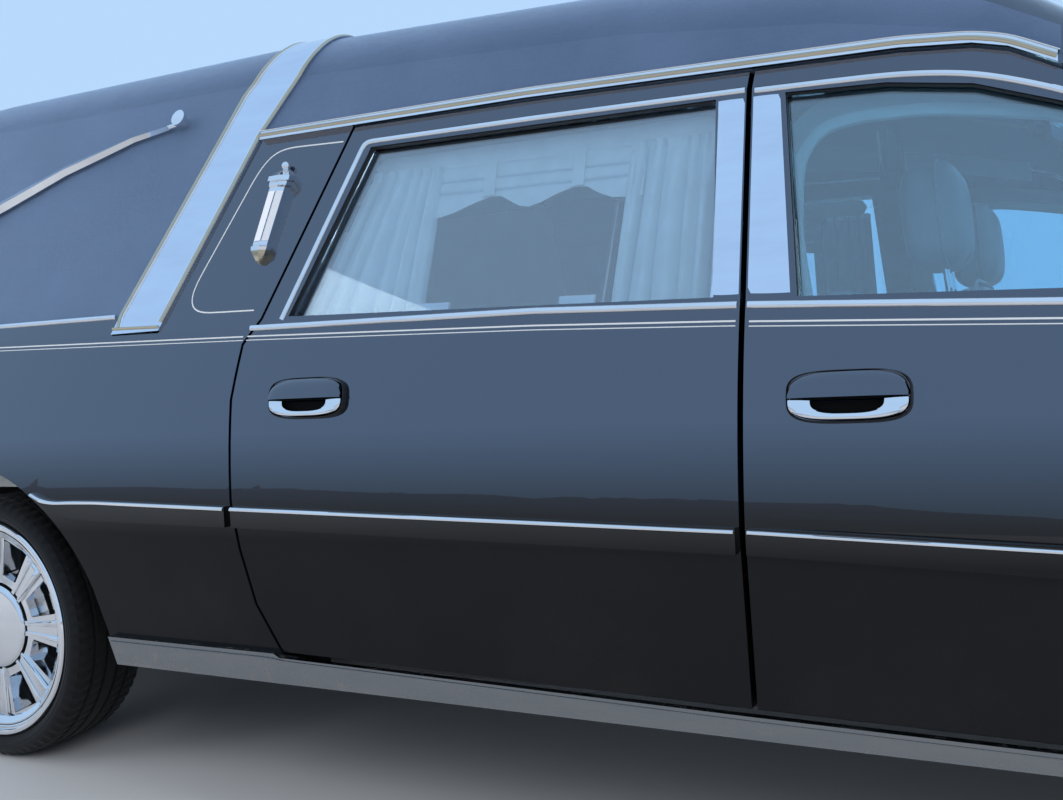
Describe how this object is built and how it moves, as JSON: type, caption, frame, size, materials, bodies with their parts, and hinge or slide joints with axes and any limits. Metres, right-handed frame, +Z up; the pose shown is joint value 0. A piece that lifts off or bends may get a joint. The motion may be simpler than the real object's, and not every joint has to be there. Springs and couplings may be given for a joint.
{
  "type": "hearse with a landau roof",
  "caption": "Coachbuilt hearse with landau band, opening side doors, hood and loading door, steered front wheels and turning wheels",
  "frame": {"origin": "on the ground, at mid length and on the centre line", "axes": "+X forward, +Y to the vehicle's left, +Z up"},
  "size_m": [6.4, 2.16, 1.7777],
  "materials": {
    "black_paint": "deep gloss",
    "grained_vinyl": "grained satin",
    "polished_band": "polished",
    "bright_chrome": "polished",
    "rocker_steel": "dull",
    "wheel_chrome": "polished",
    "tyre_rubber": "matte",
    "tinted_glass": "lightly tinted",
    "clear_lens": "clear",
    "red_lens": "gloss",
    "drape_cloth": "matte",
    "grey_leather": "satin",
    "grey_trim": "satin",
    "deck_wood": "varnished",
    "cast_metal": "cast",
    "chassis_black": "satin"
  },
  "bodies": {
    "body": {"body_mouldings": "black_paint", "cabin_frame": "black_paint", "casket_deck": "deck_wood", "coach_lamps": "bright_chrome", "dashboard": "grey_trim", "drip_mouldings": "bright_chrome", "engine_block": "cast_metal", "exhaust": "chassis_black", "firewall": "chassis_black", "floor_pan": "chassis_black", "front_bumper": "black_paint", "front_fenders": "black_paint", "front_seats": "grey_leather", "front_suspension": "chassis_black", "fuel_tank": "chassis_black", "grille": "bright_chrome", "headlamps": "clear_lens", "landau_band": "polished_band", "landau_bars": "bright_chrome", "partition": "grey_trim", "quarter_panels": "black_paint", "rear_axle": "chassis_black", "rear_bumper": "black_paint", "rockers": "rocker_steel", "tail_lamps": "red_lens", "vinyl_roof": "grained_vinyl", "windshield": "tinted_glass"},
    "front_door_left": {"front_door_left": "black_paint", "front_glass_left": "tinted_glass"},
    "front_door_right": {"front_door_right": "black_paint", "front_glass_right": "tinted_glass"},
    "rear_door_left": {"rear_door_left": "black_paint", "rear_glass_left": "tinted_glass", "drapes_left": "drape_cloth"},
    "rear_door_right": {"rear_door_right": "black_paint", "rear_glass_right": "tinted_glass", "drapes_right": "drape_cloth"},
    "loading_door": {"loading_door": "black_paint", "loading_glass": "tinted_glass"},
    "hood": {"hood": "black_paint"},
    "knuckle_left": {"knuckle_left": "cast_metal"},
    "knuckle_right": {"knuckle_right": "cast_metal"},
    "wheel_front_left": {"wheel_front_left": "wheel_chrome", "tyre_front_left": "tyre_rubber"},
    "wheel_front_right": {"wheel_front_right": "wheel_chrome", "tyre_front_right": "tyre_rubber"},
    "wheel_rear_left": {"wheel_rear_left": "wheel_chrome", "tyre_rear_left": "tyre_rubber"},
    "wheel_rear_right": {"wheel_rear_right": "wheel_chrome", "tyre_rear_right": "tyre_rubber"},
    "steering_wheel": {"steering_wheel": "grey_trim"}
  },
  "joints": [
    {"name": "front_door_left_hinge", "type": "hinge", "parent": "body", "child": "front_door_left", "pos_m": [1.516, 0.922, 0.625], "axis": [0, 0, -1], "range_deg": [0, 65]},
    {"name": "front_door_right_hinge", "type": "hinge", "parent": "body", "child": "front_door_right", "pos_m": [1.516, -0.922, 0.625], "axis": [0, 0, 1], "range_deg": [0, 65]},
    {"name": "rear_door_left_hinge", "type": "hinge", "parent": "body", "child": "rear_door_left", "pos_m": [0.39, 0.922, 0.625], "axis": [0, 0, -1], "range_deg": [0, 65]},
    {"name": "rear_door_right_hinge", "type": "hinge", "parent": "body", "child": "rear_door_right", "pos_m": [0.39, -0.922, 0.625], "axis": [0, 0, 1], "range_deg": [0, 65]},
    {"name": "loading_door_hinge", "type": "hinge", "parent": "body", "child": "loading_door", "pos_m": [-3.13, 0.549, 0.875], "axis": [0, 0, -1], "range_deg": [0, 90]},
    {"name": "hood_hinge", "type": "hinge", "parent": "body", "child": "hood", "pos_m": [1.735, 0, 0.945], "axis": [0, -1, 0], "range_deg": [0, 48]},
    {"name": "steer_left", "type": "hinge", "parent": "body", "child": "knuckle_left", "pos_m": [2.122, 0.656, 0.335], "axis": [0, 0, 1], "range_deg": [-32, 32]},
    {"name": "steer_right", "type": "hinge", "parent": "body", "child": "knuckle_right", "pos_m": [2.122, -0.656, 0.335], "axis": [0, 0, 1], "range_deg": [-32, 32]},
    {"name": "spin_front_left", "type": "hinge", "parent": "knuckle_left", "child": "wheel_front_left", "pos_m": [2.122, 0.79, 0.335], "axis": [0, 1, 0], "continuous": true},
    {"name": "spin_rear_left", "type": "hinge", "parent": "body", "child": "wheel_rear_left", "pos_m": [-1.538, 0.785, 0.335], "axis": [0, 1, 0], "continuous": true},
    {"name": "spin_front_right", "type": "hinge", "parent": "knuckle_right", "child": "wheel_front_right", "pos_m": [2.122, -0.79, 0.335], "axis": [0, 1, 0], "continuous": true},
    {"name": "spin_rear_right", "type": "hinge", "parent": "body", "child": "wheel_rear_right", "pos_m": [-1.538, -0.785, 0.335], "axis": [0, 1, 0], "continuous": true},
    {"name": "steering_wheel_turn", "type": "hinge", "parent": "body", "child": "steering_wheel", "pos_m": [1.225, 0.375, 0.876], "axis": [-0.9207, 0, 0.3903], "range_deg": [-512, 512]}
  ],
  "couplings": [
    {"joint": "steer_right", "follows": "steer_left", "ratio": 1},
    {"joint": "steering_wheel_turn", "follows": "steer_left", "ratio": 16}
  ]
}
